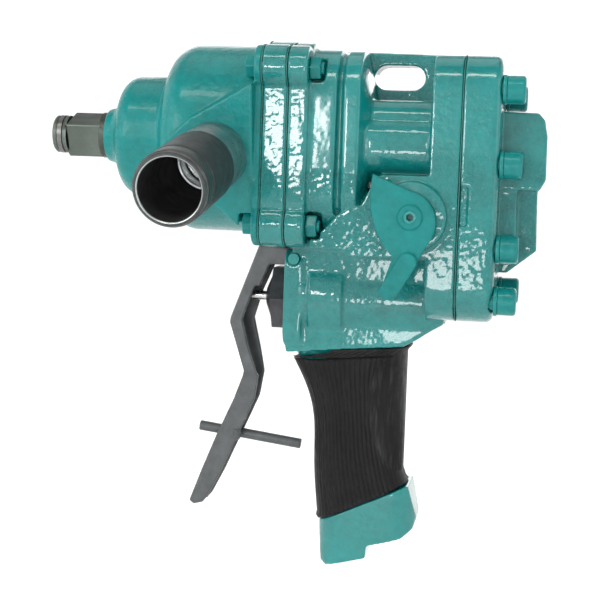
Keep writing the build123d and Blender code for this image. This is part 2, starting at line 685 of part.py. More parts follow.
def make_trigger():
    """Long channel-section trigger lever."""
    inside = TRIGGER_HALF - TRIGGER_SHEET
    lever = side_plate(trigger_sketch(), -TRIGGER_HALF, TRIGGER_HALF) & trigger_width(0.0)
    hollow = side_plate(trigger_sketch(), -inside, inside) & trigger_width(TRIGGER_SHEET)
    lever -= Pos(TRIGGER_SHEET, 0, 0) * hollow
    lever -= block(136.0, 160.0, -inside, inside, -75.0, -50.0)
    lever -= side_plate(polygon(*TRIGGER_NEAR_RELIEF), -20.0, -inside + 0.4)
    lever -= rod_y(PIVOT_R + RUN_GAP, -20, 20, PIVOT[0], PIVOT[1])
    (x0, z0), (x1, z1) = CROSSBAR_ENDS
    return lever - rod((x0, 0, z0), (x1, 0, z1), CROSSBAR_R)


def make_crossbar():
    """Round bar through the lever; its rear end meets the grip and stops the pull."""
    (x0, z0), (x1, z1) = CROSSBAR_ENDS
    return rod((x0, 0, z0), (x1, 0, z1), CROSSBAR_R)


def make_spool():
    """Throttle spool with two lands and the stem that the trigger pushes."""
    stem = rod_x(SPOOL_STEM_R, SPOOL_TIP_X + SPOOL_STEM_R, 152.0, 0, SPOOL_Z)
    stem += Pos(SPOOL_TIP_X + SPOOL_STEM_R, 0, SPOOL_Z) * Sphere(SPOOL_STEM_R)
    spool = stem + rod_x(SPOOL_R, 152.0, 163.0, 0, SPOOL_Z)
    spool += rod_x(5.0, 163.0, 176.0, 0, SPOOL_Z)
    return spool + rod_x(SPOOL_R, 176.0, 187.0, 0, SPOOL_Z)


def make_gland():
    """Hexagonal gland that closes the throttle bore around the stem."""
    gland = hexagon_x(GLAND_AF, 131.0, CHEEK_X, 0, SPOOL_Z, 0.0)
    cone = revolve(
        Plane.XZ * make_face(
            [
                Line((126.6, 0), (126.6, 5.4)),
                Line((126.6, 5.4), (131.0, 15.6)),
                Line((131.0, 15.6), (131.0, 0)),
                Line((131.0, 0), (126.6, 0)),
            ]
        ),
        Axis.X,
        360,
    )
    gland += Pos(0, 0, SPOOL_Z) * cone
    gland += rod_x(12.0, CHEEK_X, CHEEK_X + 10.6, 0, SPOOL_Z)
    gland -= rod_x(SPOOL_STEM_R + RUN_GAP, 120.0, 160.0, 0, SPOOL_Z)
    return gland - rod_x(5.0, 145.0, CHEEK_X + 10.6, 0, SPOOL_Z)


def make_spring(x0, x1, radius, wire, turns, place):
    """A helical compression spring along X."""
    pitch = (x1 - x0 - wire) / turns
    path = Helix(pitch, pitch * turns, radius)
    section = Plane(path @ 0, z_dir=path % 0) * Circle(wire / 2)
    coil = sweep(section, path)
    return Pos(x0 + wire / 2, *place) * Rot(0, 90, 0) * coil


# ---------------------------------------------------------------- reversing valve
def lever_sketch():
    """Teardrop plate of the reversing lever."""
    edges = [
        Line((189.4, -16.8), (208.9, -24.8)),
        ThreePointArc((208.9, -24.8), (220.6, -34.0), (218.4, -51.0)),
        Line((218.4, -51.0), (204.6, -76.6)),
        ThreePointArc((204.6, -76.6), (199.4, -79.6), (195.6, -75.0)),
        Line((195.6, -75.0), (201.0, -58.6)),
        ThreePointArc((201.0, -58.6), (190.4, -40.0), (189.4, -16.8)),
    ]
    return make_face(edges)


def make_reversing_lever():
    """Reversing lever with its raised thumb tab."""
    near = REVERSE_FACE_Y - LEVER_GAP
    plate = side_plate(lever_sketch(), near - LEVER_PLATE, near)
    tab = rod_y(4.6, near - LEVER_PLATE - 4.0, near - 1.0, 209.0, -60.4)
    tab += rod_y(4.6, near - LEVER_PLATE - 4.0, near - 1.0, 200.2, -75.4)
    bridge = Vector(200.2 - 209.0, 0, -75.4 + 60.4)
    side = Vector(-bridge.Z, 0, bridge.X).normalized() * 4.6
    corners = (
        (209.0 + side.X, -60.4 + side.Z),
        (209.0 - side.X, -60.4 - side.Z),
        (200.2 - side.X, -75.4 - side.Z),
        (200.2 + side.X, -75.4 + side.Z),
    )
    tab += side_plate(polygon(*corners), near - LEVER_PLATE - 4.0, near - 1.0)
    hub = rod_y(6.2, near - LEVER_PLATE - 1.2, near, REVERSE_X, REVERSE_Z)
    lever = plate + tab + hub
    return lever - rod_y(3.2, near - 20.0, near, REVERSE_X, REVERSE_Z)


def make_spindle():
    """Reversing spindle with cross flats for the oil."""
    near = REVERSE_FACE_Y - LEVER_GAP
    radius = REVERSE_R - RUN_GAP
    spindle = rod_y(radius, near, 28.0, REVERSE_X, REVERSE_Z)
    spindle -= rod_y(radius + 1, -30.0, 14.0, REVERSE_X + 9.0, REVERSE_Z)
    groove = rod_y(radius + 1, -46.0, -43.4, REVERSE_X, REVERSE_Z)
    groove -= rod_y(radius - 1.6, -46.0, -43.4, REVERSE_X, REVERSE_Z)
    return spindle - groove - rod_y(3.2, near, near + 14.0, REVERSE_X, REVERSE_Z)


def make_spindle_seal():
    """O-ring in the spindle's groove."""
    radius = REVERSE_R - RUN_GAP
    seal = rod_y(radius, -45.9, -43.5, REVERSE_X, REVERSE_Z)
    return seal - rod_y(radius - 1.6, -45.9, -43.5, REVERSE_X, REVERSE_Z)


def make_lever_screw():
    """Socket-head screw that holds the lever on the spindle."""
    near = REVERSE_FACE_Y - LEVER_GAP
    head_y = near - LEVER_PLATE - 1.2
    screw = rod_y(3.2, head_y + 0.5, near + 13.6, REVERSE_X, REVERSE_Z)
    socket = Plane(origin=(REVERSE_X, head_y + 0.5, REVERSE_Z), z_dir=(0, 1, 0)) * RegularPolygon(2.0, 6)
    return screw - extrude(socket, 3.2)


# ---------------------------------------------------------------- side handle
def handle_frame(distance):
    """Point on the side handle's axis at a distance out from the boss face."""
    droop = math.radians(HANDLE_TILT)
    return Vector(*HANDLE_BASE) + Vector(0, -math.cos(droop), -math.sin(droop)) * distance


def handle_rod(radius, near, far):
    """A round bar along the side handle's axis."""
    return rod(tuple(handle_frame(near)), tuple(handle_frame(far)), radius)


def make_handle_tube():
    """Steel tube with a closed inner end and a chamfered mouth."""
    end = HANDLE_LENGTH
    tube = handle_rod(HANDLE_R, 0.0, end)
    rim = tube.edges().filter_by(GeomType.CIRCLE).sort_by(Axis.Y)[0]
    tube = chamfer(rim, 0.9)
    tube -= handle_rod(HANDLE_R - HANDLE_WALL, 16.0, end)
    tube -= handle_rod(HANDLE_R - HANDLE_WALL - 1.8, 4.0, 16.0)
    return tube - handle_rod(5.3, 0.0, 4.0)


def make_handle_sleeve():
    """Thin black sleeve over the outer length of the tube."""
    near = 15.0
    far = HANDLE_LENGTH - 1.8
    return handle_rod(HANDLE_R + 0.8, near, far) - handle_rod(HANDLE_R, near, far)


def make_handle_washer():
    """Washer inside the handle."""
    return handle_rod(12.5, 4.0, 6.2) - handle_rod(5.3, 4.0, 6.2)


def make_handle_bolt():
    """Cap screw inside the handle."""
    head = handle_rod(7.6, 6.2, 14.5)
    socket = handle_rod(4.3, 9.5, 14.5)
    return head - socket + handle_rod(5.0, -4.8, 6.2)


# ---------------------------------------------------------------- build
PIECES = {
    "anvil": make_anvil,
    "socket_retainer_ring": make_retainer_ring,
    "retainer_o_ring": lambda: ring_x(8.8, 7.8, 5.2, 7.4),
    "anvil_bush": lambda: ring_x(JOURNAL_R + BUSH_WALL, JOURNAL_R + RUN_GAP, 40.6, 73.0),
    "nose_seal": lambda: ring_x(SHANK_R + 0.5, SHANK_R + RUN_GAP, 34.6, 37.8),
    "hammer_case": make_hammer_case,
    "hammer_frame": make_hammer_frame,
    "front_hammer": lambda: make_hammer(83.2, 99.9, 1),
    "rear_hammer": lambda: make_hammer(100.5, 117.2, -1),
    "hammer_pins": make_hammer_pins,
    "case_gasket": make_case_gasket,
    "motor_front_plate": make_front_plate,
    "shaft_seal": make_shaft_seal,
    "plate_gasket": make_plate_gasket,
    "motor_housing": make_motor_housing,
    "rear_gasket": make_rear_gasket,
    "rear_housing": make_rear_housing,
    "rear_bolts": make_rear_bolts,
    "rear_lock_washers": make_lock_washers,
    "flange_bolts": make_flange_bolts,
    "flange_nuts": make_flange_nuts,
    "drive_gear": make_drive_gear,
    "idler_gear": make_idler_gear,
    "gear_bushes": make_gear_bushes,
    "grip_sleeve": make_grip_sleeve,
    "trigger": make_trigger,
    "trigger_crossbar": make_crossbar,
    "trigger_pivot_pin": lambda: rod_y(PIVOT_R, -25.6, 25.6, PIVOT[0], PIVOT[1]),
    "throttle_spool": make_spool,
    "spool_gland": make_gland,
    "spool_seal": lambda: ring_x(5.0, SPOOL_STEM_R + RUN_GAP, 145.2, 148.0, 0, SPOOL_Z),
    "spool_spring": lambda: make_spring(187.2, 205.8, 5.6, 1.4, 6, (0, SPOOL_Z)),
    "reversing_lever": make_reversing_lever,
    "reversing_spindle": make_spindle,
    "reversing_o_ring": make_spindle_seal,
    "reversing_lever_screw": make_lever_screw,
    "detent_ball": lambda: Pos(REVERSE_X, REVERSE_FACE_Y + 2.3, REVERSE_Z - 13.4) * Sphere(2.3),
    "side_handle_tube": make_handle_tube,
    "side_handle_sleeve": make_handle_sleeve,
    "side_handle_washer": make_handle_washer,
    "side_handle_bolt": make_handle_bolt,
}

for piece_name, make_piece in PIECES.items():
    save(piece_name, make_piece())
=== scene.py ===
import bpy
import bmesh
import json
import math
import numpy as np
from mathutils import Vector, Matrix, noise
from mathutils.bvhtree import BVHTree


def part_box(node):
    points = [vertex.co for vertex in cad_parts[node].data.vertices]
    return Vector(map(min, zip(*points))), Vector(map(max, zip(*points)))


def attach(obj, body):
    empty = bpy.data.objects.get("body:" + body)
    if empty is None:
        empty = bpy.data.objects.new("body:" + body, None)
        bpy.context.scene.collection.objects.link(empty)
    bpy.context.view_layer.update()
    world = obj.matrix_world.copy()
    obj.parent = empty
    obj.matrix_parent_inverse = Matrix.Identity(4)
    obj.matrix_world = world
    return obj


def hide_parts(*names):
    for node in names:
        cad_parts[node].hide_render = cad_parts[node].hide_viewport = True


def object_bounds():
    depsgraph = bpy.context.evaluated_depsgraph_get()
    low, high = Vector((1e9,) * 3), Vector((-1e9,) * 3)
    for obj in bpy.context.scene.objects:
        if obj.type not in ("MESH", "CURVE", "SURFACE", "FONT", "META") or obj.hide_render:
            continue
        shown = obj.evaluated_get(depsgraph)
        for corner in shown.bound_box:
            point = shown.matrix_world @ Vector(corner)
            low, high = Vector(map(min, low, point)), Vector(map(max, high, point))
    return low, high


# Hydraulic impact wrench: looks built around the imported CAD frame. Metres, CAD axes.
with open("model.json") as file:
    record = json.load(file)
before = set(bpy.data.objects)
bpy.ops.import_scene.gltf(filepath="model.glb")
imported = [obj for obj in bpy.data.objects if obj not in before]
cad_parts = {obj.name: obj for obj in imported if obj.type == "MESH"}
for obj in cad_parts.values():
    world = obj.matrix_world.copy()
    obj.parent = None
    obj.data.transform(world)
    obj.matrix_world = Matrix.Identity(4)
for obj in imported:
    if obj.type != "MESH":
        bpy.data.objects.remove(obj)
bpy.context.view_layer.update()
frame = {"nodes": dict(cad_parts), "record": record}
MM = 0.001
NODES = frame["nodes"]


# ---------------------------------------------------------------- camera
CAMERA_AZIMUTH = math.radians(10.0)
CAMERA_ELEVATION = math.radians(5.0)
CAMERA_ROLL = math.radians(2.0)
CAMERA_PLACE = Vector((0.27147, -0.74561, -0.01876))
SENSOR = 36.0
FOCAL_PIXELS = 1369.4
FRAME_PIXELS = 600.0


def make_camera():
    """A long lens from the side-handle side, slightly above the drive axis."""
    back = Vector((
        math.sin(CAMERA_AZIMUTH) * math.cos(CAMERA_ELEVATION),
        -math.cos(CAMERA_AZIMUTH) * math.cos(CAMERA_ELEVATION),
        math.sin(CAMERA_ELEVATION),
    ))
    right = Vector((math.cos(CAMERA_AZIMUTH), math.sin(CAMERA_AZIMUTH), 0.0))
    up = back.cross(right)
    rolled_right = math.cos(CAMERA_ROLL) * right + math.sin(CAMERA_ROLL) * up
    rolled_up = -math.sin(CAMERA_ROLL) * right + math.cos(CAMERA_ROLL) * up
    turn = Matrix((rolled_right, rolled_up, back)).transposed()
    data = bpy.data.cameras.new("camera")
    data.sensor_width = SENSOR
    data.lens = FOCAL_PIXELS / FRAME_PIXELS * SENSOR
    data.shift_x = 0.0071
    data.shift_y = -0.0083
    data.clip_start = 0.05
    camera = bpy.data.objects.new("camera", data)
    camera.matrix_world = Matrix.Translation(CAMERA_PLACE) @ turn.to_4x4()
    bpy.context.scene.collection.objects.link(camera)
    bpy.context.scene.camera = camera


make_camera()


# ---------------------------------------------------------------- material helpers
class Surface:
    """A node material with one Principled shader and object coordinates."""

    def __init__(self, name, color, roughness, metallic=0.0):
        self.material = bpy.data.materials.new(name)
        self.material.use_nodes = True
        self.tree = self.material.node_tree
        self.shader = self.tree.nodes["Principled BSDF"]
        self.shader.inputs["Base Color"].default_value = (*color, 1)
        self.shader.inputs["Roughness"].default_value = roughness
        self.shader.inputs["Metallic"].default_value = metallic
        self.place = self.tree.nodes.new("ShaderNodeTexCoord").outputs["Object"]

    def link(self, a, b):
        self.tree.links.new(a, b)

    def node(self, kind, **inputs):
        made = self.tree.nodes.new(kind)
        for key, value in inputs.items():
            made.inputs[key.replace("_", " ")].default_value = value
        return made

    def stretched(self, x, y, z):
        mapping = self.node("ShaderNodeMapping")
        mapping.inputs["Scale"].default_value = (x, y, z)
        self.link(self.place, mapping.inputs["Vector"])
        return mapping.outputs["Vector"]

    def noise(self, scale, detail=3.0, rough=0.5, vector=None, distortion=0.0):
        made = self.node(
            "ShaderNodeTexNoise", Scale=scale, Detail=detail, Roughness=rough, Distortion=distortion
        )
        self.link(vector or self.place, made.inputs["Vector"])
        return made.outputs["Fac"]

    def remap(self, value, low, high, to_low=0.0, to_high=1.0):
        made = self.node("ShaderNodeMapRange")
        made.clamp = True
        self.link(value, made.inputs["Value"])
        made.inputs["From Min"].default_value = low
        made.inputs["From Max"].default_value = high
        made.inputs["To Min"].default_value = to_low
        made.inputs["To Max"].default_value = to_high
        return made.outputs["Result"]

    def math(self, operation, a, b=None):
        made = self.tree.nodes.new("ShaderNodeMath")
        made.operation = operation
        for socket, value in zip(made.inputs, (a, b)):
            if value is None:
                continue
            if isinstance(value, (int, float)):
                socket.default_value = value
            else:
                self.link(value, socket)
        return made.outputs["Value"]

    def mix(self, factor, a, b):
        made = self.tree.nodes.new("ShaderNodeMix")
        made.data_type = "RGBA"
        for key, value in ((0, factor), (6, a), (7, b)):
            socket = made.inputs[key]
            if isinstance(value, (int, float)):
                socket.default_value = value
            elif isinstance(value, tuple):
                socket.default_value = (*value, 1)
            else:
                self.link(value, socket)
        return made.outputs[2]

    def attribute(self, name):
        made = self.tree.nodes.new("ShaderNodeAttribute")
        made.attribute_name = name
        return made.outputs["Fac"]

    def pointiness_mask(self, low=0.52, high=0.6):
        """Convex edges, from the mesh's own curvature; a downward range gives hollows instead, which the
        paint uses for painted shade.
        """
        geometry = self.tree.nodes.new("ShaderNodeNewGeometry")
        return self.remap(geometry.outputs["Pointiness"], low, high)

    def color(self, value):
        self.link(value, self.shader.inputs["Base Color"])

    def roughness(self, value):
        self.link(value, self.shader.inputs["Roughness"])

    def bump(self, *layers):
        """Stacks height layers, each (height socket, strength, depth in metres)."""
        normal = None
        for height, strength, depth in layers:
            made = self.node("ShaderNodeBump", Distance=depth)
            if isinstance(strength, (int, float)):
                made.inputs["Strength"].default_value = strength
            else:
                self.link(strength, made.inputs["Strength"])
            self.link(height, made.inputs["Height"])
            if normal is not None:
                self.link(normal, made.inputs["Normal"])
            normal = made.outputs["Normal"]
        self.link(normal, self.shader.inputs["Normal"])

    def set(self, **values):
        for key, value in values.items():
            self.shader.inputs[key.replace("_", " ")].default_value = value


# ---------------------------------------------------------------- materials
TEAL = (0.002, 0.190, 0.184)
TEAL_DARK = (0.001, 0.132, 0.126)
TEAL_LIGHT = (0.010, 0.245, 0.236)


def paint_material(name, gloss=(0.12, 0.24), cast_depth=0.00055, peel=0.40, coat=0.8):
    """Glossy enamel: cloudy thickness, orange peel, and cast grain where the mesh says so."""
    s = Surface(name, TEAL, 0.24)
    cloud = s.remap(s.noise(38.0, 4.0, 0.6), 0.32, 0.68)
    fine = s.remap(s.noise(260.0, 3.0, 0.6), 0.35, 0.7)
    base = s.mix(cloud, TEAL_DARK, TEAL)
    base = s.mix(s.math("MULTIPLY", fine, 0.35), base, TEAL_LIGHT)
    # Partly thin paint on convex edges, partly a painted highlight: edges are lightened towards a pale teal.
    thin_paint_and_highlight = s.math("MULTIPLY", s.pointiness_mask(0.515, 0.60), 0.35)
    base = s.mix(thin_paint_and_highlight, base, (0.040, 0.300, 0.280))
    # Painted shade: hollows (low pointiness) are darkened towards a deep teal, standing in for shade in
    # crevices.
    crevice_shade = s.math("MULTIPLY", s.pointiness_mask(0.485, 0.40), 0.55)
    s.color(s.mix(crevice_shade, base, (0.004, 0.085, 0.068)))
    smear = s.remap(s.noise(90.0, 4.0, 0.6), 0.3, 0.7, *gloss)
    s.roughness(smear)
    grain_mask = s.attribute("cast")
    rolling = s.noise(240.0, 2.0, 0.5)
    orange = s.noise(1100.0, 2.0, 0.5)
    cast = s.noise(620.0, 3.0, 0.62, distortion=0.6)
    s.bump(
        (rolling, 0.40, 0.0010),
        (orange, peel, 0.00018),
        (cast, grain_mask, cast_depth * 2.2),
    )
    s.set(Coat_Weight=coat, Coat_Roughness=0.07, Specular_IOR_Level=0.22)
    return s.material


def steel_material(name, color, roughness, grain=(40.0, 40.0, 900.0), rust=0.0, dark=None):
    """Machined or forged steel with a directional grain, stains and worn edges."""
    s = Surface(name, color, roughness, 1.0)
    stain = s.remap(s.noise(75.0, 5.0, 0.65), 0.35, 0.7)
    lines = s.noise(1.0, 3.0, 0.6, vector=s.stretched(*grain))
    darker = dark or tuple(0.55 * c for c in color)
    base = s.mix(stain, color, darker)
    if rust:
        brown = s.remap(s.noise(160.0, 5.0, 0.7), 0.50, 0.66, 0.0, rust)
        base = s.mix(brown, base, (0.14, 0.085, 0.05))
    edge = s.math("MULTIPLY", s.pointiness_mask(0.53, 0.62), 0.6)
    s.color(s.mix(edge, base, tuple(min(1.0, 1.9 * c + 0.05) for c in color)))
    spread = s.math("MULTIPLY", s.remap(lines, 0.3, 0.7, 0.8, 1.25), roughness)
    s.roughness(spread)
    s.bump((lines, 0.25, 0.00012), (s.noise(700.0, 3.0, 0.6), 0.15, 0.00010))
    return s.material


def black_material(
    name, color, roughness, metallic=0.0, scale=900.0, depth=0.00015, wear=(0.2, 0.2, 0.2), coat=0.0
):
    """Black lacquer, oxide or dip: mottled sheen, fine grain and rubbed edges."""
    s = Surface(name, color, roughness, metallic)
    mottled = s.remap(s.noise(120.0, 4.0, 0.65), 0.3, 0.72)
    base = s.mix(mottled, color, tuple(1.7 * c + 0.003 for c in color))
    rubbed = s.math("MULTIPLY", s.pointiness_mask(0.53, 0.64), s.remap(s.noise(300.0, 3.0, 0.6), 0.35, 0.65))
    s.color(s.mix(rubbed, base, wear))
    s.roughness(s.remap(s.noise(170.0, 4.0, 0.6), 0.3, 0.7, roughness - 0.07, roughness + 0.10))
    s.bump((s.noise(scale, 3.0, 0.55), 0.35, depth), (s.noise(140.0, 2.0, 0.5), 0.15, 0.0006))
    if coat:
        s.set(Coat_Weight=coat, Coat_Roughness=0.25)
    return s.material


def rubber_material():
    """Moulded grip rubber: matt, dusty in the open, with a fine mould grain."""
    s = Surface("grip_rubber", (0.004, 0.004, 0.005), 0.55)
    dust = s.remap(s.noise(60.0, 5.0, 0.65), 0.42, 0.75, 0.0, 0.5)
    scuff = s.remap(s.noise(1.0, 4.0, 0.6, vector=s.stretched(500.0, 500.0, 60.0)), 0.48, 0.72, 0.0, 0.6)
    base = s.mix(dust, (0.002, 0.002, 0.0025), (0.006, 0.006, 0.007))
    crest = s.math("MULTIPLY", s.pointiness_mask(0.52, 0.6), scuff)
    s.color(s.mix(crest, base, (0.045, 0.046, 0.050)))
    s.roughness(s.remap(s.noise(220.0, 3.0, 0.6), 0.3, 0.7, 0.42, 0.62))
    s.bump((s.noise(1500.0, 2.0, 0.5), 0.30, 0.00012), (s.noise(300.0, 3.0, 0.5), 0.15, 0.0004))
    s.set(Specular_IOR_Level=0.22)
    return s.material


def seal_material(name, color, roughness):
    """Small rubber and fibre pieces."""
    s = Surface(name, color, roughness)
    s.color(s.mix(s.remap(s.noise(400.0, 3.0, 0.6), 0.3, 0.7), color, tuple(1.8 * c for c in color)))
    s.bump((s.noise(1800.0, 2.0, 0.5), 0.3, 0.0001))
    return s.material


MATERIALS = {
    "teal_paint": paint_material("teal_paint"),
    "teal_painted_steel": paint_material("teal_painted_steel", (0.22, 0.36), 0.0001, 0.25, 0.15),
    "impact_steel": steel_material("impact_steel", (0.085, 0.105, 0.092), 0.42, rust=0.15),
    "bright_steel": steel_material("bright_steel", (0.56, 0.56, 0.55), 0.27, grain=(900.0, 40.0, 40.0)),
    "bare_steel_tube": steel_material("bare_steel_tube", (0.52, 0.57, 0.57), 0.30, grain=(60.0, 900.0, 60.0)),
    "dark_spring_steel": steel_material("dark_spring_steel", (0.09, 0.09, 0.09), 0.32),
    "black_oxide_steel": black_material("black_oxide_steel", (0.045, 0.046, 0.050), 0.42, 0.75),
    "black_lever_steel": black_material(
        "black_lever_steel", (0.040, 0.045, 0.048), 0.46, 0.0, wear=(0.16, 0.17, 0.17), coat=0.15
    ),
    "black_rubber": seal_material("black_rubber", (0.012, 0.012, 0.012), 0.5),
    "grip_rubber": rubber_material(),
    "handle_black": black_material(
        "handle_black", (0.010, 0.010, 0.011), 0.45, 0.0, scale=1300.0, wear=(0.05, 0.05, 0.055)
    ),
    "bronze": steel_material("bronze", (0.52, 0.33, 0.14), 0.35),
    "gasket_fibre": seal_material("gasket_fibre", (0.008, 0.085, 0.072), 0.5),
}
SATIN_PAINT = paint_material("teal_paint_satin", (0.24, 0.34), 0.0003, 0.25, 0.15)
LEVER_PAINT = paint_material("teal_paint_lever", (0.40, 0.52), 0.0001, 0.3, 0.0)
for entry in frame["record"]["subparts"]:
    obj = NODES[entry["node"]]
    obj.data.materials.clear()
    obj.data.materials.append(MATERIALS[entry["material_slot"]])


# ---------------------------------------------------------------- mesh helpers
SLOT_OF = {entry["node"]: entry["material_slot"] for entry in frame["record"]["subparts"]}
BODY_OF = {
    node: body
    for body, nodes in frame["record"]["behaviour"]["bodies"].items()
    for node in nodes
}


def add_piece(name, mesh, *nodes, shade=True):
    """Links a piece that stands for CAD nodes and takes their body and finish."""
    piece = bpy.data.objects.new(name, mesh)
    bpy.context.scene.collection.objects.link(piece)
    if not mesh.materials:
        mesh.materials.append(MATERIALS[SLOT_OF[nodes[0]]])
    if shade:
        mesh.shade_smooth()
    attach(piece, BODY_OF[nodes[0]])
    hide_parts(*nodes)
    return piece


def apply_modifiers(mesh, *settings):
    """Runs modifiers on a mesh datablock and returns the result."""
    carrier = bpy.data.objects.new("carrier", mesh)
    bpy.context.scene.collection.objects.link(carrier)
    for kind, values in settings:
        modifier = carrier.modifiers.new(kind.lower(), kind)
        for key, value in values.items():
            setattr(modifier, key, value)
    graph = bpy.context.evaluated_depsgraph_get()
    result = bpy.data.meshes.new_from_object(carrier.evaluated_get(graph))
    bpy.data.objects.remove(carrier)
    return result


def cast_copy(node, voxel, rounds):
    """A CAD node's shape with the soft edges of a casting, as a dense even mesh."""
    source = NODES[node].data.copy()
    steps = [("REMESH", {"mode": "VOXEL", "voxel_size": voxel * MM, "adaptivity": 0.0})]
    steps.append(("SMOOTH", {"factor": 0.5, "iterations": rounds}))
    mesh = apply_modifiers(source, *steps)
    mesh.name = node
    return mesh


def coordinates(mesh):
    points = np.empty(len(mesh.vertices) * 3)
    mesh.vertices.foreach_get("co", points)
    return points.reshape(-1, 3)


def normals(mesh):
    values = np.empty(len(mesh.vertices) * 3)
    mesh.vertex_normals.foreach_get("vector", values)
    return values.reshape(-1, 3)


def smooth_step(value, low, high):
    t = np.clip((value - low) / (high - low), 0.0, 1.0)
    return t * t * (3 - 2 * t)


def store(mesh, name, values):
    layer = mesh.attributes.new(name, "FLOAT", "POINT")
    layer.data.foreach_set("value", np.asarray(values, dtype=np.float32))


def fractal(points, scale, seed):
    """Smooth seeded noise at each point, about -1 to 1."""
    shift = Vector((seed * 7.13, seed * 3.71, seed * 5.37))
    return np.array([noise.noise(Vector(p) * scale + shift) for p in points])


# ---------------------------------------------------------------- castings
def region(points, low, high, soft):
    """1 inside a box given in mm, fading to 0 over a soft distance."""
    weight = np.ones(len(points))
    for axis in range(3):
        if low[axis] is not None:
            weight *= smooth_step(points[:, axis] / MM, low[axis] - soft, low[axis])
        if high[axis] is not None:
            weight *= 1.0 - smooth_step(points[:, axis] / MM, high[axis], high[axis] + soft)
    return weight


def finish_casting(node, name, rough_areas, base_cast, voxel, rounds, grain=0.10, paint=None):
    """Replaces a painted casting: soft edges, uneven skin, coarse sand grain where it was left rough."""
    mesh = cast_copy(node, voxel, rounds)
    points = coordinates(mesh)
    outward = normals(mesh)
    rough = np.full(len(points), base_cast)
    for low, high, soft, amount in rough_areas:
        rough = np.maximum(rough, amount * region(points, low, high, soft))
    waves = fractal(points, 90.0, 1) * 0.10 + fractal(points, 240.0, 2) * 0.05
    pits = fractal(points, 560.0, 3) * 0.6 + fractal(points, 1000.0, 4) * 0.4
    lift = (waves - 0.12) * (0.35 + 0.65 * np.minimum(rough, 1.0)) + (pits - 0.5) * grain * rough
    points += outward * (np.clip(lift, -0.4, 0.0) * MM)[:, None]
    mesh.vertices.foreach_set("co", points.ravel())
    store(mesh, "cast", np.clip(rough, 0.0, 1.0))
    mesh.update()
    if paint:
        mesh.materials.clear()
        mesh.materials.append(paint)
    return add_piece(name, mesh, node)


finish_casting(
    "hammer_case", "hammer_case_casting",
    [((122, None, None), (None, None, None), 2.0, 0.35)],
    0.06, 0.75, 4, paint=SATIN_PAINT,
)
finish_casting(
    "motor_front_plate", "motor_front_plate_casting",
    [((None, None, None), (None, None, None), 1.0, 0.55)],
    0.55, 0.65, 2, grain=0.14,
)
finish_casting(
    "motor_housing", "motor_housing_casting",
    [
        ((None, None, -62), (152, None, None), 2.0, 0.60),
        ((148, -12, 20), (216, 12, None), 2.5, 1.0),
        ((150, None, -62), (192, -40, -17), 2.0, 1.0),
        ((186, None, -22), (216, -38, 14), 2.0, 0.55),
        ((214, None, None), (None, None, -8), 5.0, 0.70),
        ((145, None, -110), (220, None, -60), 3.0, 0.60),
        ((None, None, -112), (None, None, -60), 3.0, 0.45),
    ],
    0.16, 0.85, 3, grain=0.16,
)
finish_casting(
    "rear_housing", "rear_housing_casting",
    [
        ((None, None, None), (None, None, -8), 6.0, 0.70),
        ((251, None, None), (None, None, None), 2.0, 0.40),
    ],
    0.12, 0.75, 3, grain=0.14,
)


def softened(node, name, voxel, rounds, cast=0.0, paint=None):
    """A CAD node's shape with small even rounds on every edge."""
    mesh = cast_copy(node, voxel, rounds)
    if paint:
        mesh.materials.clear()
        mesh.materials.append(paint)
    store(mesh, "cast", np.full(len(mesh.vertices), cast))
    return add_piece(name, mesh, node)


softened("reversing_lever", "reversing_lever_forging", 0.40, 3, 0.05, LEVER_PAINT)
softened("trigger", "trigger_pressing", 0.60, 2)
softened("trigger_crossbar", "trigger_crossbar_rod", 0.40, 2)
softened("flange_bolts", "flange_bolts_painted", 0.45, 2, 0.1)
softened("flange_nuts", "flange_nuts_painted", 0.45, 2, 0.1)
softened("rear_bolts", "rear_bolts_painted", 0.50, 2, 0.1)
softened("rear_lock_washers", "rear_lock_washers_painted", 0.40, 1, 0.1)


# ---------------------------------------------------------------- rubber grip
RIB_COUNT = 58
RIB_STEPS = 12
RIB_DEPTH = 0.55
GRIP_ROWS = 84
GRIP_WALL = 2.7


def grip_edges(x):
    """Upper and lower edge heights of the sleeve, in mm, at a place along X in metres."""
    station = x / MM
    top = -114.75 + (station - 117.8) * 0.0673
    bottom = -207.0 + max(0.0, station - 158.8) * 0.475
    return top, bottom


def grip_rings():
    """Points on the sleeve's outer surface, in rings from its upper to its lower edge."""
    source = NODES["grip_sleeve"].data
    faces = [tuple(p.vertices) for p in source.polygons]
    tree = BVHTree.FromPolygons([Vector(c) for c in coordinates(source)], faces)
    columns = RIB_COUNT * RIB_STEPS
    rings = np.zeros((GRIP_ROWS + 1, columns, 3))
    for column in range(columns):
        angle = 2 * math.pi * column / columns
        way = Vector((math.cos(angle), 0.9 * math.sin(angle), 0.0)).normalized()
        x = 0.178 + 0.02 * way.x
        for row in range(GRIP_ROWS + 1):
            t = 0.0004 + 0.9992 * row / GRIP_ROWS
            for _ in range(3):
                top, bottom = grip_edges(x)
                z = (top + (bottom - top) * t) * MM
                middle = 0.1757 - min(0.0, z + 0.150) * 0.20
                start = Vector((middle, 0.0, z)) + way * 0.08
                spot = tree.ray_cast(start, -way)[0]
                if spot is None:
                    break
                x = spot.x
            rings[row, column] = spot if spot is not None else rings[row - 1, column]
    return rings


def even_steps(ring, count):
    """The same closed ring, stepped evenly along its length."""
    loop = np.vstack([ring, ring[:1]])
    length = np.concatenate([[0.0], np.cumsum(np.linalg.norm(np.diff(loop, axis=0), axis=1))])
    wanted = np.linspace(0.0, length[-1], count, endpoint=False)
    return np.stack([np.interp(wanted, length, loop[:, axis]) for axis in range(3)], axis=1)


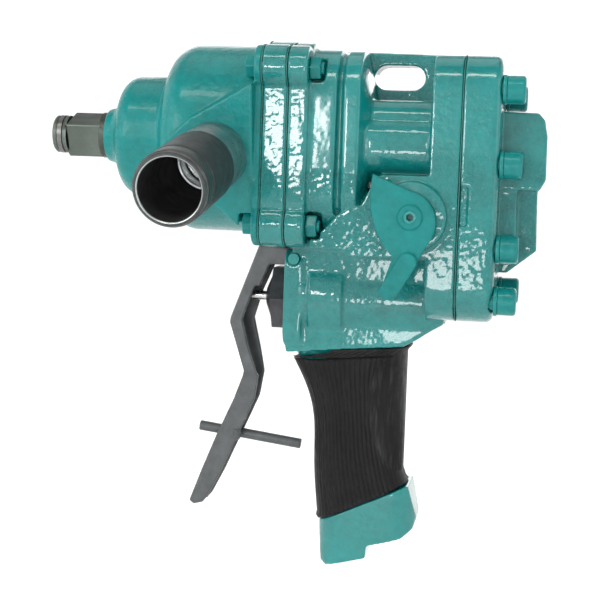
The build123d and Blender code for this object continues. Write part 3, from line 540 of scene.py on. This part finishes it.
def ribbed_grip():
    """Sleeve with lengthwise ribs on its flanks, plain front and back, and a bead at its lower edge."""
    columns = RIB_COUNT * RIB_STEPS
    rings = np.array([even_steps(ring, columns) for ring in grip_rings()])
    middle = rings.mean(axis=1, keepdims=True)
    inward = middle - rings
    inward[:, :, 2] = 0.0
    inward /= np.linalg.norm(inward, axis=2, keepdims=True)
    share = np.arange(columns) / RIB_STEPS
    groove = (0.5 - 0.5 * np.cos(2 * np.pi * share)) ** 1.6
    flank = smooth_step(np.abs(inward[:, :, 1]), 0.45, 0.75)
    rows = np.linspace(0.0, 1.0, GRIP_ROWS + 1)
    fade = smooth_step(rows, 0.0, 0.035)[:, None]
    depth = RIB_DEPTH * groove[None, :] * flank * fade
    lean = np.array([
        [noise.noise(Vector(rings[row, column]) * 70.0) for column in range(0, columns, RIB_STEPS)]
        for row in range(GRIP_ROWS + 1)
    ])
    depth += 0.10 * np.repeat(lean, RIB_STEPS, axis=1) * flank
    bead = np.exp(-((rows - 0.985) / 0.011) ** 2)[:, None] * 0.75
    lip = np.exp(-((rows - 0.008) / 0.010) ** 2)[:, None] * 0.30
    outer = rings + inward * ((np.clip(depth, 0.0, None) + 0.05 - bead - lip) * MM)[:, :, None]
    top_wall = outer[:1] + inward[:1] * GRIP_WALL * MM
    bottom_wall = outer[-1:] + inward[-1:] * GRIP_WALL * MM
    levels = np.concatenate([top_wall, outer, bottom_wall])
    return tube_mesh("grip_sleeve_ribbed", levels)


def tube_mesh(name, levels):
    """A closed mesh through rings of points, with the last ring joined back to the first."""
    count, columns = levels.shape[:2]
    faces = []
    for row in range(count):
        below = (row + 1) % count
        for column in range(columns):
            beside = (column + 1) % columns
            faces.append((
                row * columns + column, row * columns + beside,
                below * columns + beside, below * columns + column,
            ))
    mesh = bpy.data.meshes.new(name)
    mesh.from_pydata(levels.reshape(-1, 3).tolist(), [], faces)
    shape = bmesh.new()
    shape.from_mesh(mesh)
    bmesh.ops.recalc_face_normals(shape, faces=shape.faces)
    shape.to_mesh(mesh)
    shape.free()
    return mesh


add_piece("grip_sleeve_ribbed", ribbed_grip(), "grip_sleeve")


# ---------------------------------------------------------------- side handle
HANDLE_MOUNT = next(m for m in frame["record"]["mounts"] if m["name"] == "side_handle_mouth")
HANDLE_AXIS = Vector(HANDLE_MOUNT["axis"]).normalized()
HANDLE_BASE = Vector(HANDLE_MOUNT["pos_m"]) - HANDLE_AXIS * 51.0 * MM
HANDLE_SIDE = Vector((1.0, 0.0, 0.0))
HANDLE_DOWN = HANDLE_AXIS.cross(HANDLE_SIDE)


def lathe(name, profile, segments=128):
    """A turned piece on the side handle's axis, from (distance, radius) pairs in mm."""
    levels = []
    for distance, radius in profile:
        ring = []
        for k in range(segments):
            angle = 2 * math.pi * k / segments
            spoke = HANDLE_SIDE * math.cos(angle) + HANDLE_DOWN * math.sin(angle)
            ring.append(HANDLE_BASE + (HANDLE_AXIS * distance + spoke * radius) * MM)
        levels.append([tuple(p) for p in ring])
    return tube_mesh(name, np.array(levels))


def sharp_lathe(mesh, angle):
    """Smooth shading with the turned corners kept sharp."""
    mesh.shade_smooth()
    mesh.set_sharp_from_angle(angle=math.radians(angle))
    return mesh


SLEEVE_START = 32.0
SLEEVE_COLLAR = 73.1
BORE_STEP = 16.4
BASE_RINGS = 24


def handle_distance(point):
    """Distance along the side handle and radius from its axis, in mm."""
    local = Vector(point) - HANDLE_BASE
    along = local.dot(HANDLE_AXIS)
    return along / MM, (local - HANDLE_AXIS * along).length / MM


def handle_finish(distance, radius):
    """Material slot of a place on the tube: 0 bare steel, 1 painted shade in the bore, 2 rubbed collar."""
    if radius < 15.12 and distance > BORE_STEP:
        return 1
    return 2 if distance > 85.6 and radius > 16.1 else 0


def make_handle():
    """Steel tube with painted shade (near-black) down its bore, black sleeve and a rubbed collar at the
    mouth.
    """
    turned = [(0.0, 16.9), (0.5, 17.45)]
    for step in range(BASE_RINGS):
        start = 1.2 + step * 1.15
        turned += [(start, 17.55), (start + 0.75, 17.58), (start + 0.95, 17.50)]
    profile = turned + [
        (29.2, 17.55), (40.0, 17.55), (70.0, 17.55), (84.6, 17.55), (85.4, 17.5), (85.9, 17.25), (86.3, 16.9),
        (86.45, 16.4), (86.45, 15.9), (86.2, 15.45), (85.6, 15.15), (84.8, 15.03), (60.0, 15.02),
        (38.0, 15.02),
        (17.0, 15.02), (16.2, 14.9), (16.0, 14.5), (16.0, 13.6), (15.6, 13.25), (10.0, 13.22), (4.6, 13.22),
        (4.05, 12.9), (4.0, 5.4), (0.0, 5.4),
    ]
    mesh = sharp_lathe(lathe("side_handle_tube_turned", profile), 40.0)
    mesh.materials.append(MATERIALS["bare_steel_tube"])
    mesh.materials.append(BORE_PAINTED_SHADE)
    mesh.materials.append(COLLAR_GREY)
    for face in mesh.polygons:
        distance, radius = handle_distance(face.center)
        face.material_index = handle_finish(distance, radius)
    add_piece("side_handle_tube_turned", mesh, "side_handle_tube", shade=False)

    outline = [
        (SLEEVE_START, 17.62), (SLEEVE_START, 18.05), (SLEEVE_START + 0.4, 18.33), (SLEEVE_START + 1.1, 18.4),
    ]
    outline += [(33.1 + 38.9 * k / 18, 18.4 + 0.04 * math.sin(k * 2.1)) for k in range(1, 19)]
    outline += [
        (72.6, 18.2), (72.9, 17.95), (73.3, 17.95), (73.6, 18.15), (74.0, 18.25), (78.0, 18.28),
        (83.6, 18.25),
        (84.3, 18.05), (84.6, 17.62),
    ]
    sleeve = sharp_lathe(lathe("side_handle_sleeve_black", outline), 50.0)
    sleeve.materials.append(MATERIALS["handle_black"])
    sleeve.materials.append(COLLAR_GREY)
    for face in sleeve.polygons:
        face.material_index = 1 if handle_distance(face.center)[0] > SLEEVE_COLLAR else 0
    add_piece("side_handle_sleeve_black", sleeve, "side_handle_sleeve", shade=False)


# Painted shade: near-black bore walls stand in for the shade inside the deep tube.
BORE_PAINTED_SHADE = black_material("bore_painted_shade", (0.006, 0.006, 0.007), 0.62, 0.0, wear=(0.02, 0.02, 0.02))
COLLAR_GREY = black_material("collar_grey", (0.030, 0.034, 0.034), 0.36, 0.5, wear=(0.14, 0.15, 0.15))
make_handle()


# ---------------------------------------------------------------- weld on the trigger
WELD_PLACE = (0.1105, -0.0065, 0.0)
WELD_SIZE = (2.4, 1.7, 3.9)


def make_weld():
    """Uneven weld bead where the cross-bar passes the lever's near flange."""
    low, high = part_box("trigger_crossbar")
    rise = (high[2] - low[2]) / (high[0] - low[0])
    centre = Vector(WELD_PLACE)
    centre.z = (low[2] + high[2]) / 2 - (centre.x - (low[0] + high[0]) / 2) * rise
    shape = bmesh.new()
    bmesh.ops.create_icosphere(shape, subdivisions=4, radius=1.0)
    for vertex in shape.verts:
        swell = 1.0 + 0.28 * noise.noise(vertex.co * 2.1 + Vector((3.0, 1.0, 2.0)))
        vertex.co = centre + vertex.co * Vector(WELD_SIZE) * swell * MM
    mesh = bpy.data.meshes.new("crossbar_weld")
    shape.to_mesh(mesh)
    shape.free()
    mesh.materials.append(MATERIALS["black_lever_steel"])
    mesh.shade_smooth()
    weld = bpy.data.objects.new("crossbar_weld", mesh)
    bpy.context.scene.collection.objects.link(weld)
    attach(weld, "trigger")


make_weld()


# ---------------------------------------------------------------- stage and light
def backdrop():
    """A pale round floor that curves up into a wall on all sides."""
    profile = [(1.2, 0.0), (1.6, 0.02), (1.9, 0.09), (2.15, 0.25), (2.3, 0.5), (2.38, 0.9), (2.4, 2.4)]
    mesh = bpy.data.meshes.new("floor")
    shape = bmesh.new()
    steps = 96
    rings = []
    for radius, height in profile:
        rings.append([
            shape.verts.new((
                FLOOR_CENTRE_X + radius * math.cos(2 * math.pi * k / steps),
                radius * math.sin(2 * math.pi * k / steps),
                FLOOR_Z + height,
            ))
            for k in range(steps)
        ])
    centre = shape.verts.new((FLOOR_CENTRE_X, 0.0, FLOOR_Z))
    for k in range(steps):
        shape.faces.new((centre, rings[0][k], rings[0][(k + 1) % steps]))
    for inner, outer in zip(rings, rings[1:]):
        for k in range(steps):
            shape.faces.new((inner[k], outer[k], outer[(k + 1) % steps], inner[(k + 1) % steps]))
    shape.to_mesh(mesh)
    shape.free()
    mesh.shade_smooth()
    s = Surface("floor", (0.93, 0.93, 0.93), 0.85)
    s.color(s.mix(s.remap(s.noise(3.0, 2.0), 0.3, 0.7), (0.92, 0.92, 0.92), (0.95, 0.95, 0.95)))
    s.set(Emission_Color=(1.0, 1.0, 1.0, 1.0), Emission_Strength=0.24)
    mesh.materials.append(s.material)
    floor = bpy.data.objects.new("floor", mesh)
    bpy.context.scene.collection.objects.link(floor)


def area_light(name, place, target, size, power, color=(1.0, 1.0, 1.0)):
    """A soft rectangular light that looks at a target."""
    data = bpy.data.lights.new(name, "AREA")
    data.shape = "RECTANGLE"
    data.size, data.size_y = size
    data.energy = power
    data.color = color
    lamp = bpy.data.objects.new(name, data)
    lamp.location = place
    lamp.rotation_euler = (Vector(target) - Vector(place)).to_track_quat("-Z", "Y").to_euler()
    bpy.context.scene.collection.objects.link(lamp)
    return lamp


FLOOR_GAP = 0.10
FLOOR_CENTRE_X = 0.137
FLOOR_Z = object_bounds()[0][2] - FLOOR_GAP
MIDDLE = (0.14, 0.0, -0.08)
backdrop()
area_light("key", (-0.045, -1.00, 0.03), MIDDLE, (0.10, 0.10), 0.85)
area_light("low", (0.14, -1.00, -0.18), MIDDLE, (0.14, 0.14), 0.9)
area_light("fill", (-0.50, -0.85, 0.20), MIDDLE, (0.5, 0.5), 3.0)
area_light("high", (0.05, -0.75, 0.95), MIDDLE, (1.0, 0.14), 5.0, (1.0, 0.94, 0.86))
area_light("left", (-1.05, -0.55, 0.30), MIDDLE, (0.5, 0.8), 1.5)
area_light("right", (1.25, -0.45, 0.25), MIDDLE, (0.5, 0.9), 1.5)
area_light("top", (0.1, 0.3, 1.4), MIDDLE, (1.4, 1.0), 3.6)
area_light("back", (0.2, 1.5, 0.4), MIDDLE, (1.6, 0.8), 5.0)

world = bpy.data.worlds.new("studio")
world.use_nodes = True
world.node_tree.nodes["Background"].inputs["Color"].default_value = (1, 1, 1, 1)
world.node_tree.nodes["Background"].inputs["Strength"].default_value = 0.32
bpy.context.scene.world = world
bpy.context.scene.view_settings.view_transform = "Standard"
